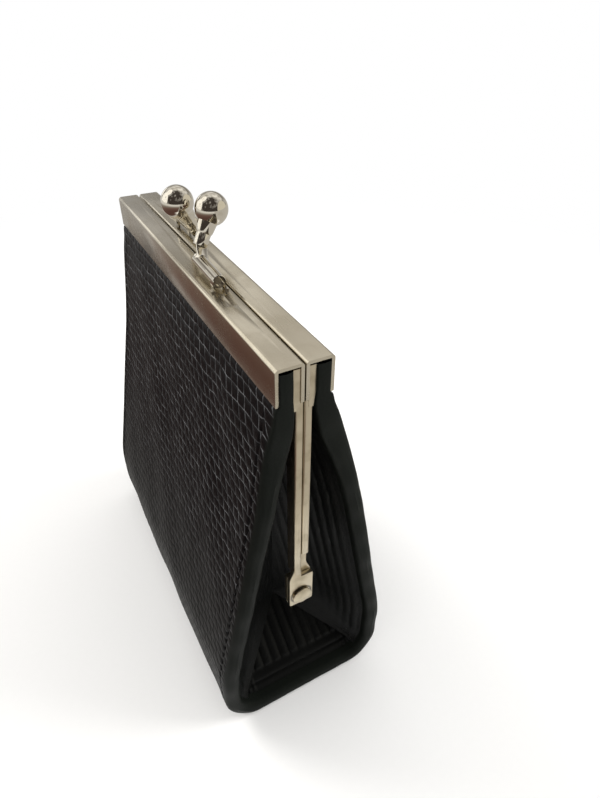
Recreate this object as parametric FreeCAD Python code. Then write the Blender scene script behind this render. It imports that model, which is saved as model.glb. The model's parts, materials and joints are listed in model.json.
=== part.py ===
"""Kiss lock frame purse: a small folded-leather purse on a hinged nickel frame.

Millimetres. +X runs along the rails towards the end with the outer tab of the front half, the front panel
faces -Y and +Z is up. The origin is the middle of the base, on the surface that the purse stands on.
The purse leans forwards a little: its hinged frame stands in front of the middle of the base. The pieces are
made about the hinge plane, y = 0 there, and moved to their place at the end. The back half of the frame is
the front half turned half a turn about Z.
"""
import FreeCAD
import Part
import math
import os

# Rails: folded sheet channels that grip the leather
RAIL_LENGTH = 75.0
RAIL_WIDTH = 4.1
RAIL_GAP = 0.5
RAIL_TOP_Z = 83.4
RAIL_SHEET = 0.5
RAIL_BEND = 0.8
OUTER_FLANGE = 5.8
INNER_FLANGE = 6.1

# Hinge frame: clamping strip under the rail top, folded arms and flat hinge tabs
STRIP_THICKNESS = 0.9
STRIP_HEIGHT = 5.0
ARM_INSET = 0.2
ARM_WIDTH = 1.3
ARM_DEPTH = 2.5
ARM_SHEET = 0.35
ARM_ROUND = 0.3
ARM_GAP = 0.1
ARM_SHOULDER = 1.15
ARM_UNDER_FLANGE = 0.2
HINGE_Z = 34.2
TAB_WIDTH = 4.5
TAB_ABOVE = 5.1
TAB_BELOW = 2.4
TAB_CORNER = 0.5
TAB_SHEET = 0.8
TAB_GAP = 0.15
TAB_FLARE = 2.6
TAB_SWING_GAP = 0.4
INNER_ARM_CUT = 4.9

# Hinge rivets
RIVET_DIA = 1.6
RIVET_HEAD_DIA = 3.9
RIVET_HEAD = 0.8
RIVET_HEAD_CHAMFER = 0.25
RIVET_TAIL_DIA = 2.8
RIVET_TAIL = 0.6
RUNNING_GAP = 0.05

# Kiss lock: rolled posts on the rail tops, with balls that lean past each other
BALL_DIA = 5.4
BALL_PASS_GAP = 0.3
BALL_LEAN = 1.87
BALL_RISE = 8.5
NECK_LENGTH = 1.0
NECK_DIA = 2.9
NECK_FOOT_DIA = 2.5
PEG_LENGTH = 2.5
POST_WIDTH = 2.3
POST_SHEET = 0.4
POST_BEND_X = 5.5
POST_OFFSET = 0.2
FOOT_LENGTH = 9.2
FOOT_LEG = 0.9
FOOT_PAD_LENGTH = 1.3
FOOT_PAD_WIDTH = 0.5
RIM_GAP = 0.5
STAKE_LENGTH = 4.4
STAKE_WIDTH = 1.4
STAKE_CORNER = 0.55
STAKE_DEPTH = 0.2
STAKE_GAP = 0.5

# Leather body: one wrap from rail to rail round the base
BODY_DEPTH = 34.9
FRAME_SHIFT = 1.45
HIP_DEPTH = 10.6
HIP_Z = 58.0
HIP_RADIUS = 40.0
KNEE_Z = 16.0
KNEE_RADIUS = 30.0
BASE_RADIUS = 8.0
SHOULDER_DROP = 2.0
BACK_SHOULDER_DROP = 1.6
BACK_SHOULDER_RADIUS = 7.0
SHOULDER_RADIUS = 15.0
SKIN = 1.4
BOARD = 1.0
LINING = 0.8
LEATHER_INSET = 0.3
ROLLED_EDGE = 4.0
EDGE_CHAMFER = 0.7
BOARD_TOP_DROP = 5.0
FLEX_Z = 50.0
FLEX_GAP = 0.5
SEAT = 0.03

# Gussets: end walls folded inwards behind the hinge arms
GUSSET_INSET = 4.5
GUSSET_FOLD = 7.0
FLAP_FOLD = 8.5
FLAP_RISE = 8.0
GUSSET_SHEET = 1.0
GUSSET_TOP_DROP = 7.0
CREASE_GAP = 0.3

# Places worked out from the sizes above
RAIL_OUT_Y = -(RAIL_GAP / 2 + RAIL_WIDTH)
RAIL_IN_Y = -RAIL_GAP / 2
RAIL_UNDER_Z = RAIL_TOP_Z - RAIL_SHEET
RAIL_INNER_BEND = RAIL_BEND - RAIL_SHEET
GRIP_TOP_Z = RAIL_UNDER_Z - RAIL_INNER_BEND - SEAT
FLANGE_END_Z = RAIL_TOP_Z - OUTER_FLANGE
STRIP_IN_Y = RAIL_IN_Y - RAIL_SHEET - SEAT
STRIP_OUT_Y = STRIP_IN_Y - STRIP_THICKNESS
ARM_IN_Y = -ARM_GAP / 2
ARM_OUT_Y = ARM_IN_Y - ARM_WIDTH
ARM_FACE_X = RAIL_LENGTH / 2 - ARM_INSET
ARM_TOP_Z = RAIL_TOP_Z - INNER_FLANGE - ARM_UNDER_FLANGE
OUTER_TAB_X = ARM_FACE_X - TAB_SHEET
INNER_TAB_X = OUTER_TAB_X - TAB_GAP - TAB_SHEET
TAB_SWING = math.hypot(TAB_WIDTH / 2, TAB_ABOVE) + TAB_SWING_GAP
POST_Y = (RAIL_OUT_Y + RAIL_IN_Y) / 2 + POST_OFFSET
POST_AXIS_Z = RAIL_TOP_Z + FOOT_LEG
BALL_X = (BALL_DIA + BALL_PASS_GAP) / 2
POST_BORE = POST_WIDTH / 2 - POST_SHEET
LEATHER_OUT_Y = RAIL_OUT_Y + RAIL_SHEET + SEAT
LEATHER_TOP_Z = GRIP_TOP_Z
FRONT_Y = FRAME_SHIFT - BODY_DEPTH / 2
BACK_Y = FRAME_SHIFT + BODY_DEPTH / 2
LEATHER_HALF = RAIL_LENGTH / 2 - LEATHER_INSET
POCKET_HALF = LEATHER_HALF - ROLLED_EDGE
GRIPPED = STRIP_OUT_Y - SEAT - LEATHER_OUT_Y
BOARD_OUT = SKIN + SEAT
LINING_OUT = BOARD_OUT + BOARD + SEAT
WALL = LINING_OUT + LINING
BOARD_TOP_Z = FLANGE_END_Z - BOARD_TOP_DROP
GUSSET_X = RAIL_LENGTH / 2 - GUSSET_INSET
GUSSET_TOP_Z = FLANGE_END_Z - GUSSET_TOP_DROP
FAR = 2 * (RAIL_LENGTH + RAIL_TOP_Z)


def vec(x, y, z):
    return FreeCAD.Vector(x, y, z)


def box(x0, x1, y0, y1, z0, z1):
    return Part.makeBox(x1 - x0, y1 - y0, z1 - z0, vec(x0, y0, z0))


def edges_along(shape, direction):
    """Straight edges of a shape that run along a direction."""
    straight = [e for e in shape.Edges if isinstance(e.Curve, Part.Line)]
    return [e for e in straight if e.tangentAt(e.FirstParameter).cross(direction).Length < SEAT]


def half_turn(shape):
    """The same piece on the other half: turned half a turn about Z."""
    turned = shape.copy()
    turned.rotate(vec(0, 0, 0), vec(0, 0, 1), 180)
    return turned


def rounded_edges(corners, radii):
    """Lines through (y, z) corners, each inner corner rounded by a tangent arc, in the plane x = 0."""
    points = [vec(0, y, z) for y, z in corners]
    edges = []
    start = points[0]
    for before, corner, after, radius in zip(points, points[1:], points[2:], radii):
        back = (before - corner).normalize()
        ahead = (after - corner).normalize()
        half_angle = back.getAngle(ahead) / 2
        reach = radius / math.tan(half_angle)
        arc_start = corner + back * reach
        arc_end = corner + ahead * reach
        centre = corner + (back + ahead).normalize() * (radius / math.sin(half_angle))
        middle = centre + (corner - centre).normalize() * radius
        edges.append(Part.LineSegment(start, arc_start).toShape())
        edges.append(Part.Arc(arc_start, middle, arc_end).toShape())
        start = arc_end
    edges.append(Part.LineSegment(start, points[-1]).toShape())
    return edges


def offset_corners(corners, shifts):
    """Corners of the path whose every run is moved to its left by its own shift."""
    runs = []
    for (y0, z0), (y1, z1), shift in zip(corners, corners[1:], shifts):
        length = math.hypot(y1 - y0, z1 - z0)
        ty, tz = (y1 - y0) / length, (z1 - z0) / length
        runs.append((y0 - tz * shift, z0 + ty * shift, ty, tz, length))
    moved = [runs[0][:2]]
    for (ya, za, ta, ua, _), (yb, zb, tb, ub, _) in zip(runs, runs[1:]):
        along = ((yb - ya) * ub - (zb - za) * tb) / (ta * ub - ua * tb)
        moved.append((ya + ta * along, za + ua * along))
    y_last, z_last, t_last, u_last, length = runs[-1]
    moved.append((y_last + t_last * length, z_last + u_last * length))
    return moved


def between(outer, inner, half_length):
    """Solid along X whose section lies between two open paths."""
    ends = [(outer[0].Vertexes[0], inner[0].Vertexes[0]), (outer[-1].Vertexes[-1], inner[-1].Vertexes[-1])]
    caps = [Part.LineSegment(a.Point, b.Point).toShape() for a, b in ends]
    wire = Part.Wire(Part.__sortEdges__(outer + inner + caps))
    solid = Part.Face(wire).extrude(vec(2 * half_length, 0, 0))
    solid.translate(vec(-half_length, 0, 0))
    return solid


def prism(corners, x0, x1):
    """Solid along X with a straight-sided (y, z) section."""
    points = [vec(x0, y, z) for y, z in corners]
    return Part.Face(Part.makePolygon(points + points[:1])).extrude(vec(x1 - x0, 0, 0))


def rod(start, end, radius):
    return Part.makeCylinder(radius, start.distanceToPoint(end), start, end - start)


def wrap_corners():
    """Outside of the leather in (y, z), from the front rail down, under the base and up to the back rail.

    The front wall is straight and the back wall is bowed outwards at its hip.
    """
    return [
        (LEATHER_OUT_Y, LEATHER_TOP_Z),
        (LEATHER_OUT_Y, FLANGE_END_Z - SHOULDER_DROP),
        (FRONT_Y, KNEE_Z),
        (FRONT_Y, 0.0),
        (BACK_Y, 0.0),
        (BACK_Y, KNEE_Z),
        (HIP_DEPTH, HIP_Z),
        (-LEATHER_OUT_Y, FLANGE_END_Z - BACK_SHOULDER_DROP),
        (-LEATHER_OUT_Y, LEATHER_TOP_Z),
    ]


def moved_corners(depth):
    """Corners at a depth into the wrap. Inside the rails the layers are pressed to the room there."""
    pressed = depth * GRIPPED / WALL
    return offset_corners(wrap_corners(), [pressed] + [depth] * 6 + [pressed])


def wrap_path(depth):
    knee, base = KNEE_RADIUS - depth, BASE_RADIUS - depth
    front = [SHOULDER_RADIUS + depth, knee, base]
    back = [base, knee, HIP_RADIUS - depth, BACK_SHOULDER_RADIUS + depth]
    return rounded_edges(moved_corners(depth), front + back)


def wall_y(z, depth, back):
    """A wall's y at a height on one of its straight slopes, at a depth into the wrap."""
    corners = moved_corners(depth)
    first = 1 if not back else 5 if z < HIP_Z else 6
    (y0, z0), (y1, z1) = corners[first:first + 2]
    return y0 + (y1 - y0) * (z - z0) / (z1 - z0)


def flex_line(y, shift, back):
    """Height of the slanted parting line across a wall at the flex height."""
    inwards = wall_y(FLEX_Z, 0.0, True) - y if back else y - wall_y(FLEX_Z, 0.0, False)
    return FLEX_Z + inwards + shift


def middle_y():
    """Plane half way between the two walls at the flex height."""
    return (wall_y(FLEX_Z, 0.0, False) + wall_y(FLEX_Z, 0.0, True)) / 2


def upper_zone(back):
    """Room of one half's own leather, above its parting line."""
    lift = FLEX_GAP / 2
    side = FAR if back else -FAR
    outer = (side, flex_line(side, lift, back))
    inner = (middle_y(), flex_line(middle_y(), lift, back))
    return prism([outer, inner, (middle_y(), FAR), (side, FAR)], -FAR, FAR)


def base_zone():
    """Room of the leather that both halves share, below the parting lines."""
    drop = -FLEX_GAP / 2
    reach = BODY_DEPTH
    front = (-reach, flex_line(-reach, drop, False))
    middle = (middle_y(), flex_line(middle_y(), drop, False))
    back = (reach, flex_line(reach, drop, True))
    return prism([front, middle, back, (reach, -FAR), (-reach, -FAR)], -FAR, FAR)


def below_board_top():
    return box(-FAR, FAR, -FAR, FAR, -FAR, BOARD_TOP_Z)


def rim_edges(wrap, path):
    """Edges of the wrap's two ends that follow a path."""
    line = Part.Compound(path)
    rims = []
    for edge in wrap.Edges:
        middle = edge.valueAt((edge.FirstParameter + edge.LastParameter) / 2)
        at_end = abs(abs(middle.x) - LEATHER_HALF) < SEAT
        if at_end and Part.Vertex(0, middle.y, middle.z).distToShape(line)[0] < SEAT:
            rims.append(edge)
    return rims


def leather_wrap():
    """The whole skin: rolled edges, broken at both corners, and a pocket for board and lining."""
    wrap = between(wrap_path(0.0), wrap_path(WALL), LEATHER_HALF)
    for depth in (0.0, WALL):
        wrap = wrap.makeChamfer(EDGE_CHAMFER, rim_edges(wrap, wrap_path(depth)))
    pocket = between(wrap_path(SKIN), wrap_path(WALL + SKIN), POCKET_HALF + SEAT)
    lid = box(-FAR, FAR, -FAR, FAR, -FAR, BOARD_TOP_Z + SEAT)
    return wrap.cut(pocket.common(lid))


def layer(outer_depth, inner_depth):
    """One inner layer of the wrap, lying in the skin's pocket."""
    return between(wrap_path(outer_depth), wrap_path(inner_depth), POCKET_HALF).common(below_board_top())


def top_rail():
    """Channel with its open side down, and the shallow stake mark beyond the post's foot."""
    outer_corners = [
        (RAIL_IN_Y, RAIL_TOP_Z - INNER_FLANGE),
        (RAIL_IN_Y, RAIL_TOP_Z),
        (RAIL_OUT_Y, RAIL_TOP_Z),
        (RAIL_OUT_Y, FLANGE_END_Z),
    ]
    inner_corners = offset_corners(outer_corners, [RAIL_SHEET] * 3)
    outer = rounded_edges(outer_corners, [RAIL_BEND] * 2)
    inner = rounded_edges(inner_corners, [RAIL_INNER_BEND] * 2)
    rail = between(outer, inner, RAIL_LENGTH / 2)
    stake_x = POST_BEND_X + FOOT_LENGTH + STAKE_GAP
    y0 = POST_Y - STAKE_WIDTH / 2
    mark = box(stake_x, stake_x + STAKE_LENGTH, y0, y0 + STAKE_WIDTH, RAIL_TOP_Z - STAKE_DEPTH, FAR)
    return rail.cut(mark.makeFillet(STAKE_CORNER, edges_along(mark, vec(0, 0, 1))))


def arm_leg(bottom_z):
    """Folded arm at the +X end: rounded web outwards, open fold inwards."""
    back_x = ARM_FACE_X - ARM_DEPTH
    leg = box(back_x, ARM_FACE_X, ARM_OUT_Y, ARM_IN_Y, bottom_z, ARM_TOP_Z)
    web = [e for e in edges_along(leg, vec(0, 0, 1)) if e.CenterOfMass.x > ARM_FACE_X - SEAT]
    leg = leg.makeFillet(ARM_ROUND, web)
    fold = box(back_x, ARM_FACE_X - ARM_SHEET, ARM_OUT_Y + ARM_SHEET, ARM_IN_Y - ARM_SHEET, -FAR, FAR)
    return leg.cut(fold)


def arm_head():
    """Flat head of the arm, clamped behind the rail's inner flange."""
    bottom = ARM_TOP_Z - ARM_SHOULDER
    return box(ARM_FACE_X - ARM_DEPTH, ARM_FACE_X, STRIP_OUT_Y, STRIP_IN_Y, bottom, GRIP_TOP_Z)


def hinge_tab(x0, neck_z):
    """Flat tab with its rivet hole, its neck running up into the arm."""
    half = TAB_WIDTH / 2
    top = HINGE_Z + TAB_ABOVE
    plate = box(x0, x0 + TAB_SHEET, -half, half, HINGE_Z - TAB_BELOW, top)
    plate = plate.makeFillet(TAB_CORNER, edges_along(plate, vec(1, 0, 0)))
    outline = [
        (ARM_OUT_Y, neck_z),
        (ARM_IN_Y, neck_z),
        (ARM_IN_Y, HINGE_Z),
        (-half, HINGE_Z),
        (-half, top - TAB_CORNER),
        (ARM_OUT_Y, top + TAB_FLARE),
    ]
    hole_r = RIVET_DIA / 2 + RUNNING_GAP
    hole = rod(vec(-FAR, 0, HINGE_Z), vec(FAR, 0, HINGE_Z), hole_r)
    return plate.fuse(prism(outline, x0, x0 + TAB_SHEET)).cut(hole)


def mirrored_end(shape):
    """The same form at the -X end."""
    return shape.mirror(vec(0, 0, 0), vec(1, 0, 0))


def hinge_frame():
    """Strip, arms and tabs of one half. The outer tab is at +X, the inner tab at -X."""
    strip = box(-ARM_FACE_X, ARM_FACE_X, STRIP_OUT_Y, STRIP_IN_Y, GRIP_TOP_Z - STRIP_HEIGHT, GRIP_TOP_Z)
    outer_end_z = HINGE_Z + TAB_SWING
    inner_end_z = outer_end_z + INNER_ARM_CUT
    pieces = [
        arm_head(),
        arm_leg(outer_end_z),
        hinge_tab(OUTER_TAB_X, outer_end_z + ARM_SHEET),
        mirrored_end(arm_head()),
        mirrored_end(arm_leg(inner_end_z)),
        mirrored_end(hinge_tab(INNER_TAB_X, inner_end_z + ARM_SHEET)),
    ]
    return strip.multiFuse(pieces).removeSplitter()


def rivet():
    """Headed pin through both tabs at the +X end, its tail peened over inside."""
    head_x = ARM_FACE_X + RUNNING_GAP
    tail_x = INNER_TAB_X - RUNNING_GAP
    on_axis = [vec(x, 0, HINGE_Z) for x in (tail_x - RIVET_TAIL, tail_x, head_x, head_x + RIVET_HEAD)]
    tail = rod(on_axis[0], on_axis[1], RIVET_TAIL_DIA / 2)
    shank = rod(on_axis[1], on_axis[2], RIVET_DIA / 2)
    head = rod(on_axis[2], on_axis[3], RIVET_HEAD_DIA / 2)
    face = [e for e in head.Edges if abs(e.CenterOfMass.x - on_axis[3].x) < SEAT and len(e.Vertexes) == 1]
    return tail.multiFuse([shank, head.makeChamfer(RIVET_HEAD_CHAMFER, face)]).removeSplitter()


def ball_centre():
    return vec(BALL_X, BALL_LEAN, RAIL_TOP_Z + BALL_RISE)


def post_bend():
    return vec(POST_BEND_X, POST_Y, POST_AXIS_Z)


def along_shank(distance_from_ball):
    """Point on the shank's axis, measured down from the ball's centre."""
    towards = (post_bend() - ball_centre()).normalize()
    return ball_centre() + towards * distance_from_ball


def lock_post():
    """Post rolled from one strip: a channel foot lying on the rail, bent up into a tube for the ball's peg.

    The strip runs on unbroken round the outside of the bend. On the inside the tube ends in a rim, just clear
    of the foot.
    """
    outer_r = POST_WIDTH / 2
    end_x = POST_BEND_X + FOOT_LENGTH
    bend = post_bend()
    foot_end = vec(end_x, POST_Y, POST_AXIS_Z)
    tube_top = along_shank(BALL_DIA / 2 + NECK_LENGTH)
    legs = box(POST_BEND_X, end_x, POST_Y - outer_r, POST_Y + outer_r, RAIL_TOP_Z, POST_AXIS_Z)
    pad_y = outer_r + FOOT_PAD_WIDTH
    pad_top = RAIL_TOP_Z + POST_SHEET
    pads = box(end_x - FOOT_PAD_LENGTH, end_x, POST_Y - pad_y, POST_Y + pad_y, RAIL_TOP_Z, pad_top)
    knuckle = Part.makeSphere(outer_r, bend)
    post = rod(bend, foot_end, outer_r).multiFuse([legs, pads, rod(bend, tube_top, outer_r), knuckle])
    fold = rod(bend, foot_end, POST_BORE)
    slot = box(POST_BEND_X, FAR, POST_Y - POST_BORE, POST_Y + POST_BORE, -FAR, POST_AXIS_Z)
    bore = rod(bend, tube_top, POST_BORE)
    rim_bottom = POST_AXIS_Z + outer_r + SEAT
    rim = box(POST_BEND_X, FAR, -FAR, FAR, rim_bottom, rim_bottom + RIM_GAP)
    below = box(-FAR, FAR, -FAR, FAR, -FAR, RAIL_TOP_Z)
    for cutter in (fold, slot, bore, rim, below):
        post = post.cut(cutter)
    return post.removeSplitter()


def lock_ball():
    """Polished ball on a conical neck, with a peg that sits in the post's tube."""
    ball_r = BALL_DIA / 2
    neck_end = along_shank(ball_r + NECK_LENGTH)
    sunk = math.sqrt(ball_r ** 2 - (NECK_DIA / 2) ** 2)
    up = ball_centre() - neck_end
    neck = Part.makeCone(NECK_FOOT_DIA / 2, NECK_DIA / 2, ball_r + NECK_LENGTH - sunk, neck_end, up)
    peg = rod(along_shank(ball_r + NECK_LENGTH + PEG_LENGTH), neck_end, POST_BORE - SEAT)
    return Part.makeSphere(ball_r, ball_centre()).multiFuse([neck, peg]).removeSplitter()


def leather_facet(points):
    """Flat piece of gusset leather, its thickness laid inwards from the +X side."""
    return Part.Face(Part.makePolygon(points + points[:1])).extrude(vec(-GUSSET_SHEET, 0, 0))


def gusset_wing(back):
    """One side of the folded end wall at +X above the flex line, from the panel in to the crease."""
    heights = (FLEX_Z + FLEX_GAP, GUSSET_TOP_Z)
    crease_y = CREASE_GAP / 2 if back else -CREASE_GAP / 2
    crease_low, crease_high = [vec(GUSSET_X - GUSSET_FOLD, crease_y, z) for z in heights]
    wall_low, wall_high = [vec(GUSSET_X, wall_y(z, WALL + SEAT, back), z) for z in heights]
    low = leather_facet([crease_low, wall_low, wall_high])
    return low.fuse(leather_facet([crease_low, wall_high, crease_high])).removeSplitter()


def purse_inside():
    """Room inside the lining at the +X end."""
    path = wrap_path(WALL + SEAT)
    lid = Part.LineSegment(path[-1].Vertexes[-1].Point, path[0].Vertexes[0].Point).toShape()
    return Part.Face(Part.Wire(Part.__sortEdges__(path + [lid]))).extrude(vec(RAIL_LENGTH, 0, 0))


def lower_gusset():
    """End wall at +X below the flex line: two folded sides, and a bottom flap that slopes up and inwards."""
    top_z = FLEX_Z - FLEX_GAP
    depth = WALL + SEAT
    crease = vec(GUSSET_X - GUSSET_FOLD, 0, top_z)
    apex = vec(GUSSET_X - FLAP_FOLD, 0, depth + FLAP_RISE)
    front_top, back_top = [vec(GUSSET_X, wall_y(top_z, depth, back), top_z) for back in (False, True)]
    front_corner = vec(GUSSET_X, FRONT_Y + depth, depth)
    back_corner = vec(GUSSET_X, BACK_Y - depth, depth)
    facets = [
        leather_facet([crease, front_top, front_corner]),
        leather_facet([crease, front_corner, apex]),
        leather_facet([apex, front_corner, back_corner]),
        leather_facet([crease, apex, back_corner]),
        leather_facet([crease, back_corner, back_top]),
    ]
    return facets[0].multiFuse(facets[1:]).removeSplitter().common(purse_inside())


def frame_parts():
    """Pieces of the hinged frame and the lock. The back half's are the front half's, turned."""
    front = {
        "rail": top_rail(),
        "hinge_frame": hinge_frame(),
        "lock_post": lock_post(),
        "lock_ball": lock_ball(),
    }
    parts = {"right_rivet": rivet(), "left_rivet": half_turn(rivet())}
    for name, shape in front.items():
        parts["front_" + name] = shape
        parts["back_" + name] = half_turn(shape)
    return parts


def leather_parts():
    """Pieces of the leather body. Left is the -X end."""
    layers = {
        "panel": leather_wrap(),
        "board": layer(BOARD_OUT, BOARD_OUT + BOARD),
        "lining": layer(LINING_OUT, LINING_OUT + LINING),
    }
    lower = base_zone()
    parts = {
        "base_wrap": layers["panel"].common(lower),
        "base_board": layers["board"].common(lower),
        "base_lining": layers["lining"].common(lower),
        "right_gusset": lower_gusset(),
        "left_gusset": mirrored_end(lower_gusset()),
    }
    for half, back in (("front_", False), ("back_", True)):
        for name, shape in layers.items():
            parts[half + name] = shape.common(upper_zone(back))
        parts[half + "right_gusset_wing"] = gusset_wing(back)
        parts[half + "left_gusset_wing"] = mirrored_end(gusset_wing(back))
    return parts


def main():
    os.makedirs("parts", exist_ok=True)
    for name, shape in (frame_parts() | leather_parts()).items():
        shape.translate(vec(0, -FRAME_SHIFT, 0))
        shape.exportStep("parts/" + name + ".step")
        print(name, "solids", len(shape.Solids), "valid", shape.isValid(), "mm3", round(shape.Volume, 2))


main()
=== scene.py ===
"""Looks of a kiss lock frame purse: embossed leather folded round a hinged nickel frame.

Lengths are in millimetres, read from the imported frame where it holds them, and each finished mesh is scaled
to metres. Meshes are made about the hinge plane, y = 0 there, and moved to their place at the end. What
belongs to the front half is made once more for the back half, turned half a turn about Z.
"""
import json
import math

import bmesh
import bpy
from mathutils import Matrix, Vector


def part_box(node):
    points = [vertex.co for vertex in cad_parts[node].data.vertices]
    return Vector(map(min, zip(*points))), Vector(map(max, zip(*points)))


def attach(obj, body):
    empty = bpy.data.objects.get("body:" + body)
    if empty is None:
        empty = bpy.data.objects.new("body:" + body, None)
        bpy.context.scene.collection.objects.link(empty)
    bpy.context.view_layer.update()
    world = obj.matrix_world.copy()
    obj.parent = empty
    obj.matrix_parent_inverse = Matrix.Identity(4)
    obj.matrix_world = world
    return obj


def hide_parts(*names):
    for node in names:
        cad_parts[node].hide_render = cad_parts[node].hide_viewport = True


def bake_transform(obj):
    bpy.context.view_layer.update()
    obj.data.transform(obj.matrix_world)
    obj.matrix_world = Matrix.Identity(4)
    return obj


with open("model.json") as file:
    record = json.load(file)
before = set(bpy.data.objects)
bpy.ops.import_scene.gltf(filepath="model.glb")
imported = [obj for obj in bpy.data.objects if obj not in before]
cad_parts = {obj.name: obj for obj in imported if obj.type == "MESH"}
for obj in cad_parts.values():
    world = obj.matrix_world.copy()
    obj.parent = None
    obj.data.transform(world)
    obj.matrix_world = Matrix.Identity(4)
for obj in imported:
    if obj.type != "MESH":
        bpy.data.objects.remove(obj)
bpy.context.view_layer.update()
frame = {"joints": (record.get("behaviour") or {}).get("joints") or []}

MM = 0.001
HINGE = Vector(frame["joints"][0]["pos_m"]) / MM
HINGE_Z = HINGE.z
HINGE_PLANE = Vector((0, HINGE.y, 0))


def node_box(node):
    """Lowest and highest corner of a CAD node, in millimetres from the hinge plane."""
    low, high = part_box(node)
    return low / MM - HINGE_PLANE, high / MM - HINGE_PLANE


# Places read from the frame
RAIL_LOW, RAIL_HIGH = node_box("front_rail")
RIVET_LOW, RIVET_HIGH = node_box("right_rivet")
WRAP_LOW, WRAP_HIGH = node_box("base_wrap")
ARMS_HIGH = node_box("front_hinge_frame")[1]
BALL_HIGH = node_box("front_lock_ball")[1]
POST_HIGH = node_box("front_lock_post")[1]
PANEL_HIGH = node_box("front_panel")[1]
HALVES = (("front", "front_half"), ("back", "back_half"))
ENDS = (("right", 1), ("left", -1))

# Room between pieces that lie against each other, and the distance at which points count as one
SNUG = 0.03
MERGED = 0.001

# Angles from which an edge is rounded off, and from which it is shaded as sharp
SHARP_DEGREES = 50
CREASE_DEGREES = 40

# Rails
RAIL_SHEET = 0.5
RAIL_BEND = 0.6
RAIL_EDGE = 0.1
SEAM_BEND = 0.5
SEAM = 0.12
OUTER_FLANGE = 5.8
STAKE_START = 15.2
STAKE_LENGTH = 4.4
STAKE_WIDTH = 1.3
STAKE_DEPTH = 0.34
STAKE_INSET = 0.42

# Hinge arms and tabs
ARM_FACE_X = ARMS_HIGH.x
ARM_OUT_Y = -1.35
ARM_IN_Y = -0.05
ARM_DEPTH = 2.5
ARM_SHEET = 0.35
ARM_ROUND = 0.32
ARM_EDGE = 0.07
ARM_TOP_Z = 77.1
ARM_SHOULDER = 1.15
HEAD_PROUD = 0.06
STRIP_OUT_Y = -1.68
STRIP_IN_Y = -(SEAM + RAIL_SHEET + SNUG)
STRIP_HEIGHT = 5.0
STRIP_TOP_Z = 82.57
OUTER_LEG_END_Z = 40.2
INNER_LEG_END_Z = 45.1
TAB_HALF = 2.25
TAB_ABOVE = 5.1
TAB_BELOW = 2.4
TAB_CORNER = 0.45
TAB_SHEET = 0.8
TAB_FLARE = 2.6
TAB_FLARE_STEPS = 8
OUTER_TAB_STEP = 0.04
INNER_TAB_STEP = 0.95

# Hinge rivets. The underside of the head is given in steps: in from its rim, and up from its seat
RIVET_HEAD_R = 1.78
RIVET_SOLID_HEAD = 0.8
RIVET_SEAT = RIVET_HIGH.x - RIVET_SOLID_HEAD
RIVET_HEAD = 0.55
RIVET_UNDERSIDE = ((0.4, 0.0), (0.12, 0.14), (0.0, 0.22))
RIVET_DOME = 0.14
RIVET_RIM_DROP = 0.12
RIVET_SOFT = 0.18
RIVET_SHANK_R = 0.8
RIVET_TAIL_R = 1.4
RIVET_TAIL = 0.6
RIVET_TAIL_HOLLOW = 0.1

# Kiss lock
BALL_R = 2.7
BALL_CENTRE = BALL_HIGH - Vector((BALL_R, BALL_R, BALL_R))
POST_R = 1.05
POST_SHEET = 0.35
POST_EDGE = 0.1
POST_BEND_STEPS = 16
RING_SEGMENTS = 48
POST_Y = -2.1
ELBOW = Vector((4.7, -2.0, RAIL_HIGH.z + 1.95))
SHANK_UP = (BALL_CENTRE - ELBOW).normalized()
FOOT_END_X = POST_HIGH.x
FOOT_Z = RAIL_HIGH.z + 1.7
CORE_RECESS = 0.35
LEG_WIDTH = 1.1
LEG_SHEET = 0.3
LEG_PROUD = 0.02
LEG_SETBACK = 0.05
TOE_LENGTH = 0.35
NECK_LENGTH = 1.0
NECK_R = 1.6
NECK_FOOT_R = 1.38
PLUG_LENGTH = 0.4
PLUG_STEP = 0.2
TUBE_TOP_R = 1.2
RIM_R = 1.17
RIM_RISE = 1.75
RIM_EDGE = 0.05
RIM_LIP = 0.06
SLEEVE_BORE = 1.09
SLEEVE_DEPTH = 0.6
SLEEVE_LAP = 0.05
SLEEVE_TOP_SCALE = 0.96
LEG_BEND_R = 1.1

# Leather wrap: its outside in (y, z), from a rail down to the middle of the base
WALL = 3.0
GRIPPED = 2.1
LEATHER_OUT_Y = RAIL_LOW.y + RAIL_SHEET + SNUG
FLANGE_END_Z = RAIL_HIGH.z - OUTER_FLANGE
SHOULDER_DROP = 2.0
SHOULDER_RADIUS = 15.0
BACK_SHOULDER_DROP = 1.6
BACK_SHOULDER_RADIUS = 7.0
HIP_DEPTH = 10.6
HIP_Z = 58.0
HIP_RADIUS = 110.0
KNEE_Z = 16.0
KNEE_RADIUS = 30.0
BASE_RADIUS = 8.0
BASE_MIDDLE_Y = (WRAP_LOW.y + WRAP_HIGH.y) / 2
BASE_FLAT = (WRAP_HIGH.y - WRAP_LOW.y) / 2 - BASE_RADIUS
EDGE_X = WRAP_HIGH.x + 0.4
EDGE_CORNER = 1.15
EDGE_SWELL = 0.12
GRIPPED_CORNER = 0.3
SECTION_STEP = 1.6
INNER_STOPS = (34.0, 30.0, 20.0, 10.0, 0.0)
ROW_STEP = 0.55
PRESSED_RUN = (-1, 8)
ROLLING_RUN = 14
BULGE_WIDTH = 1.5
STITCH_X = 34.9
STITCH_PITCH = 2.1
STITCH_LENGTH = 1.5
STITCH_WIDTH = 0.44
STITCH_SUNK = 0.12
FIRST_STITCH = 2.0
GROOVE_DEPTH = 0.26
GROOVE_WIDTH = 0.34
GROOVE_STOPS = (-2.2, -1.4, -0.8, -0.4, 0, 0.4, 0.8, 1.4, 2.2)
GROOVE_MARGIN = 0.4
LIP_HEIGHT = 0.1
LIP_WIDTH = 2.6 * GROOVE_WIDTH
RELIEF_RISE = 6
RELIEF_FADE = 8
CALM_EDGE_X = 30
CROWN = 0.35
PUFF = 0.9
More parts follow.
